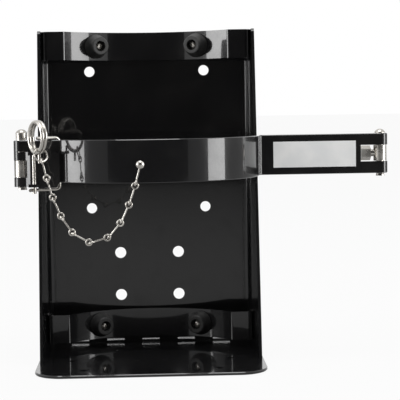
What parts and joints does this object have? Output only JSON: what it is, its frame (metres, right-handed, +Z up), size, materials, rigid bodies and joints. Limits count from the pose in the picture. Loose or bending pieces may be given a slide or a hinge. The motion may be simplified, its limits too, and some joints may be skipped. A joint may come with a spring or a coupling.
{
  "type": "fire extinguisher bracket",
  "caption": "Heavy-duty wall bracket with a shelf, curved saddles with rubber bumpers, and a hinged strap with a long arm, safety pin and chain.",
  "frame": {"origin": "middle of the four wide mounting holes, on the back face of the back plate", "axes": "-Y out of the wall towards the user, +Z up, +X towards the strap's long arm"},
  "size_m": [0.3173, 0.2116, 0.2905],
  "materials": {
    "gloss_black_paint": "gloss black powder coat",
    "zinc_steel": "bright zinc plate",
    "black_rubber": "matt moulded rubber",
    "bare_label": "plain satin foil"
  },
  "bodies": {
    "bracket": {"back_plate": "gloss_black_paint", "shelf": "gloss_black_paint", "shelf_welds": "gloss_black_paint", "upper_saddle": "gloss_black_paint", "lower_saddle": "gloss_black_paint", "saddle_welds": "gloss_black_paint", "bumper_upper_left": "black_rubber", "bumper_upper_right": "black_rubber", "bumper_lower_left": "black_rubber", "bumper_lower_right": "black_rubber", "bumper_screws": "zinc_steel", "bumper_nuts": "zinc_steel", "hinge_anchor": "gloss_black_paint", "anchor_welds": "gloss_black_paint", "hinge_eye": "zinc_steel", "hinge_nuts": "zinc_steel", "hinge_pin": "zinc_steel", "hinge_collar": "zinc_steel"},
    "strap_arm": {"strap": "gloss_black_paint", "label_plate": "bare_label", "latch_lever": "gloss_black_paint", "chain_rivet": "zinc_steel", "chain": "zinc_steel", "arm_pin": "zinc_steel"},
    "swing_bolt": {"swing_eye": "zinc_steel", "swing_nut": "zinc_steel"},
    "locking_pin": {"safety_pin": "zinc_steel"},
    "pin_clip": {"pin_bail": "zinc_steel"}
  },
  "joints": [
    {"name": "strap_swing", "type": "hinge", "parent": "bracket", "child": "strap_arm", "pos_m": [-0.101, -0.1682, 0], "axis": [0, 0, -1], "range_deg": [0, 110]},
    {"name": "swing_bolt_turn", "type": "hinge", "parent": "strap_arm", "child": "swing_bolt", "pos_m": [0.199, -0.1042, 0], "axis": [0, 0, 1], "range_deg": [-90, 90]},
    {"name": "safety_pin_pull", "type": "slide", "parent": "strap_arm", "child": "locking_pin", "axis": [0, 0, 1], "range_m": [0, 0.05], "deforming": ["chain"]},
    {"name": "clip_open", "type": "hinge", "parent": "strap_arm", "child": "pin_clip", "pos_m": [-0.0879, -0.1792, 0.00615], "axis": [0.8855, 0.4646, 0], "range_deg": [0, 8]}
  ]
}
